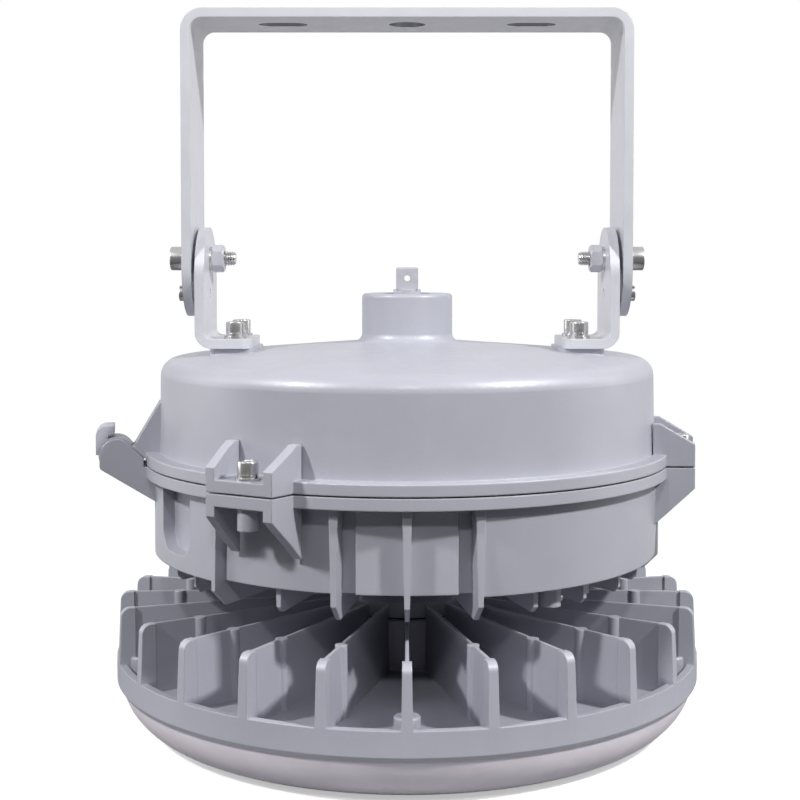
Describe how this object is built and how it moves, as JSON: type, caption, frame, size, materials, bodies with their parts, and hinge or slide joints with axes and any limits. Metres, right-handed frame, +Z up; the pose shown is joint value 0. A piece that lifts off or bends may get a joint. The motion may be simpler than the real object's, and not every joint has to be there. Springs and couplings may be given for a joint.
{
  "type": "explosion-proof led light",
  "caption": "Round explosion-proof LED light: cast cover with conduit entry, ribbed driver housing, finned heatsink, frosted diffuser and a tilting fixing stirrup.",
  "frame": {"origin": "centre of the top face of the stirrup's bar, where it is fixed", "axes": "+Z up, away from the lamp; +X along the stirrup's bar; the front is -Y"},
  "size_m": [0.3238, 0.3148, 0.3812],
  "materials": {
    "grey_coat": "semi-gloss powder coat",
    "cast_grey": "semi-gloss powder coat on a casting",
    "stainless": "turned stainless steel",
    "plug_metal": "zinc plated",
    "seal_rubber": "matt",
    "frosted": "frosted",
    "board": "white solder mask",
    "chip": "phosphor",
    "white_sheet": "matt white",
    "driver_case": "satin",
    "white_plastic": "satin",
    "lead_jacket": "satin"
  },
  "bodies": {
    "lamp": {"left_foot_bracket": "grey_coat", "right_foot_bracket": "grey_coat", "pivot_bolts": "stainless", "pivot_washers": "stainless", "pivot_spring_washers": "stainless", "pivot_spacers": "stainless", "pivot_nut_washers": "stainless", "pivot_nuts": "grey_coat", "lock_screws": "stainless", "foot_washers": "stainless", "foot_spring_washers": "stainless", "foot_bolts": "stainless", "closure_washers": "stainless", "closure_spring_washers": "stainless", "closure_bolts": "stainless", "top_cover": "cast_grey", "entry_plug": "plug_metal", "cover_gasket": "seal_rubber", "driver_housing": "cast_grey", "hinge_pin": "stainless", "earth_washer": "stainless", "earth_screw": "stainless", "heatsink": "cast_grey", "neck_gasket": "seal_rubber", "neck_bolts": "stainless", "led_board": "board", "led_chips": "chip", "board_screws": "stainless", "reflector": "white_sheet", "diffuser": "frosted", "diffuser_seal": "seal_rubber", "driver": "driver_case", "driver_screws": "stainless", "terminal_block": "white_plastic", "terminal_screws": "stainless", "led_lead": "lead_jacket"},
    "stirrup": {"stirrup": "grey_coat"}
  },
  "joints": [
    {"name": "stirrup_tilt", "type": "hinge", "parent": "lamp", "child": "stirrup", "pos_m": [0, 0, -0.132], "axis": [1, 0, 0], "range_deg": [-60, 60]}
  ]
}
